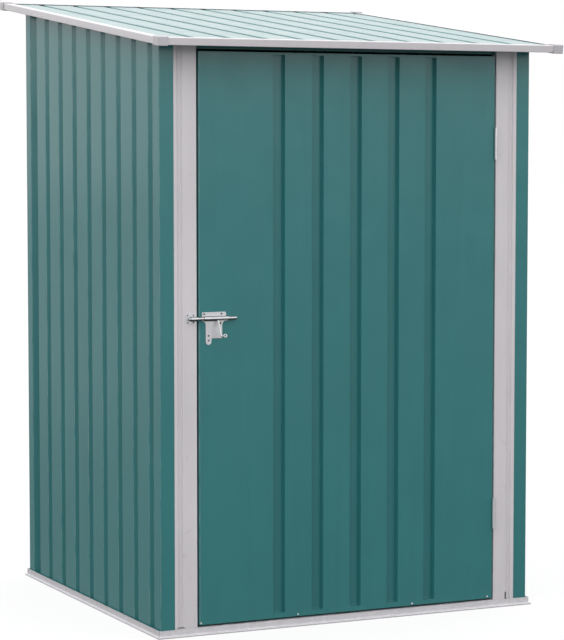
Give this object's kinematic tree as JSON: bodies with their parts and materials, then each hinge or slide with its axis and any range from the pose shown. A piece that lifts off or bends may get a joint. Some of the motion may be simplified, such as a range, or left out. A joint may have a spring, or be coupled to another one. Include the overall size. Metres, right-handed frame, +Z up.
{
  "type": "metal tool shed",
  "caption": "Small upright shed of grooved sheet metal with a roof that slopes to the front and a hinged door with a sliding bolt.",
  "frame": {"origin": "on the ground, at the centre of the roof's and walls' outline seen from above", "axes": "+X to the right of someone facing the door, +Y to the back, +Z up"},
  "size_m": [1.121, 1.1469, 1.6],
  "materials": {
    "green_sheet": "satin blue-green paint",
    "white_sheet": "satin pale grey-white paint",
    "galvanised_rail": "dull galvanised steel",
    "grey_plastic": "matt pale grey",
    "zinc": "bright zinc plate",
    "bright_rod": "polished plate"
  },
  "bodies": {
    "shed": {"base_rail_front": "galvanised_rail", "base_rail_back": "galvanised_rail", "base_rail_left": "galvanised_rail", "base_rail_right": "galvanised_rail", "left_wall": "green_sheet", "right_wall": "green_sheet", "back_wall": "green_sheet", "back_post_left": "galvanised_rail", "back_post_right": "galvanised_rail", "door_post_left": "white_sheet", "door_post_right": "white_sheet", "lintel": "green_sheet", "sill": "galvanised_rail", "top_rail_left": "galvanised_rail", "top_rail_right": "galvanised_rail", "top_rail_back": "galvanised_rail", "roof_beam": "galvanised_rail", "side_brace_left": "galvanised_rail", "side_brace_right": "galvanised_rail", "back_brace": "galvanised_rail", "roof_sheet_left": "green_sheet", "roof_sheet_right": "green_sheet", "trim_front": "white_sheet", "trim_back": "white_sheet", "trim_left": "white_sheet", "trim_right": "white_sheet", "cap_front_left": "grey_plastic", "cap_front_right": "grey_plastic", "cap_back_left": "grey_plastic", "cap_back_right": "grey_plastic", "hinge_upper_fixed": "zinc", "hinge_lower_fixed": "zinc", "bolt_keeper": "zinc"},
    "door": {"door_skin": "green_sheet", "door_brace_top": "galvanised_rail", "door_brace_middle": "galvanised_rail", "door_brace_bottom": "galvanised_rail", "hinge_upper_moving": "zinc", "hinge_lower_moving": "zinc", "bolt_plate": "zinc"},
    "bolt": {"bolt_rod": "bright_rod", "bolt_handle": "bright_rod"}
  },
  "joints": [
    {"name": "door_hinge", "type": "hinge", "parent": "shed", "child": "door", "pos_m": [0.4172, -0.482, 0.7], "axis": [0, 0, 1], "range_deg": [0, 110]},
    {"name": "bolt_slide", "type": "slide", "parent": "door", "child": "bolt", "axis": [1, 0, 0], "range_m": [0, 0.029]}
  ]
}
